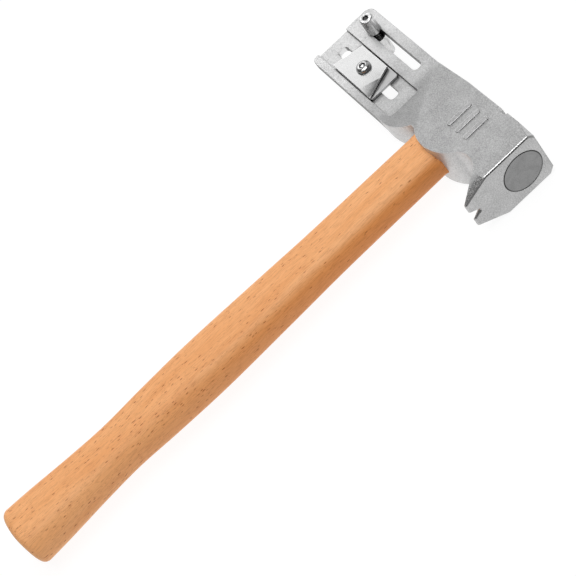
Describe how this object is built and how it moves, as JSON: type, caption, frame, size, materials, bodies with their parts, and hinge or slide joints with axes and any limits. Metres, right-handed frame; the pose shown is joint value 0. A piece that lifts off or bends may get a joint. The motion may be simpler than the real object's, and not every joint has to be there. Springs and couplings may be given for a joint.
{
  "type": "roofing hatchet",
  "caption": "Light cast roofing hatchet with a round steel striking face, nail claw, sliding shingle gauge, clamped sliding blade carriage and wooden handle.",
  "frame": {"origin": "centre of the round striking face, in the plane of the face", "axes": "+X leaves the striking face, +Y runs from the handle's butt to the top of the head, +Z leaves the near broad side, so the hatchet lies on its far side"},
  "size_m": [0.166, 0.3516, 0.0367],
  "materials": {
    "cast_alloy": "sand-like cast surface, matte",
    "insert_steel": "ground steel, slightly mottled",
    "handle_wood": "clear-coated light hardwood with short pores",
    "wedge_wood": "darker hardwood, bare",
    "wedge_steel": "plain steel",
    "post_steel": "turned, plated steel",
    "stud_steel": "black oxide thread",
    "carrier_steel": "stamped steel",
    "blade_steel": "ground blade steel",
    "plate_steel": "bright smooth plated steel",
    "screw_chrome": "bright plated",
    "nut_steel": "zinc-plated steel"
  },
  "bodies": {
    "head": {"head_casting": "cast_alloy", "striking_insert": "insert_steel", "handle": "handle_wood", "eye_wood_wedge": "wedge_wood", "eye_steel_wedge_front": "wedge_steel", "eye_steel_wedge_back": "wedge_steel"},
    "gauge": {"gauge_stud": "stud_steel"},
    "near_post": {"gauge_post_near": "post_steel"},
    "far_post": {"gauge_post_far": "post_steel"},
    "blade_carriage": {"blade_carrier": "carrier_steel", "utility_blade": "blade_steel", "clamp_plate": "plate_steel", "clamp_backing_plate": "nut_steel", "clamp_nut": "nut_steel"},
    "screw": {"clamp_screw": "screw_chrome"}
  },
  "joints": [
    {"name": "gauge_slide", "type": "slide", "parent": "head", "child": "gauge", "axis": [1, 0, 0], "range_m": [0, 0.04]},
    {"name": "near_post_turn", "type": "hinge", "parent": "gauge", "child": "near_post", "pos_m": [-0.1493, 0.0059, 0.0108], "axis": [0, 0, 1], "range_deg": [0, 180]},
    {"name": "far_post_turn", "type": "hinge", "parent": "gauge", "child": "far_post", "pos_m": [-0.1493, 0.0059, -0.0108], "axis": [0, 0, -1], "range_deg": [0, 180]},
    {"name": "blade_slide", "type": "slide", "parent": "head", "child": "blade_carriage", "axis": [1, 0, 0], "range_m": [-0.022, 0.018]},
    {"name": "clamp_screw_turn", "type": "hinge", "parent": "blade_carriage", "child": "screw", "pos_m": [-0.131, -0.0149, 0.005], "axis": [0, 0, 1], "range_deg": [0, 180]}
  ]
}
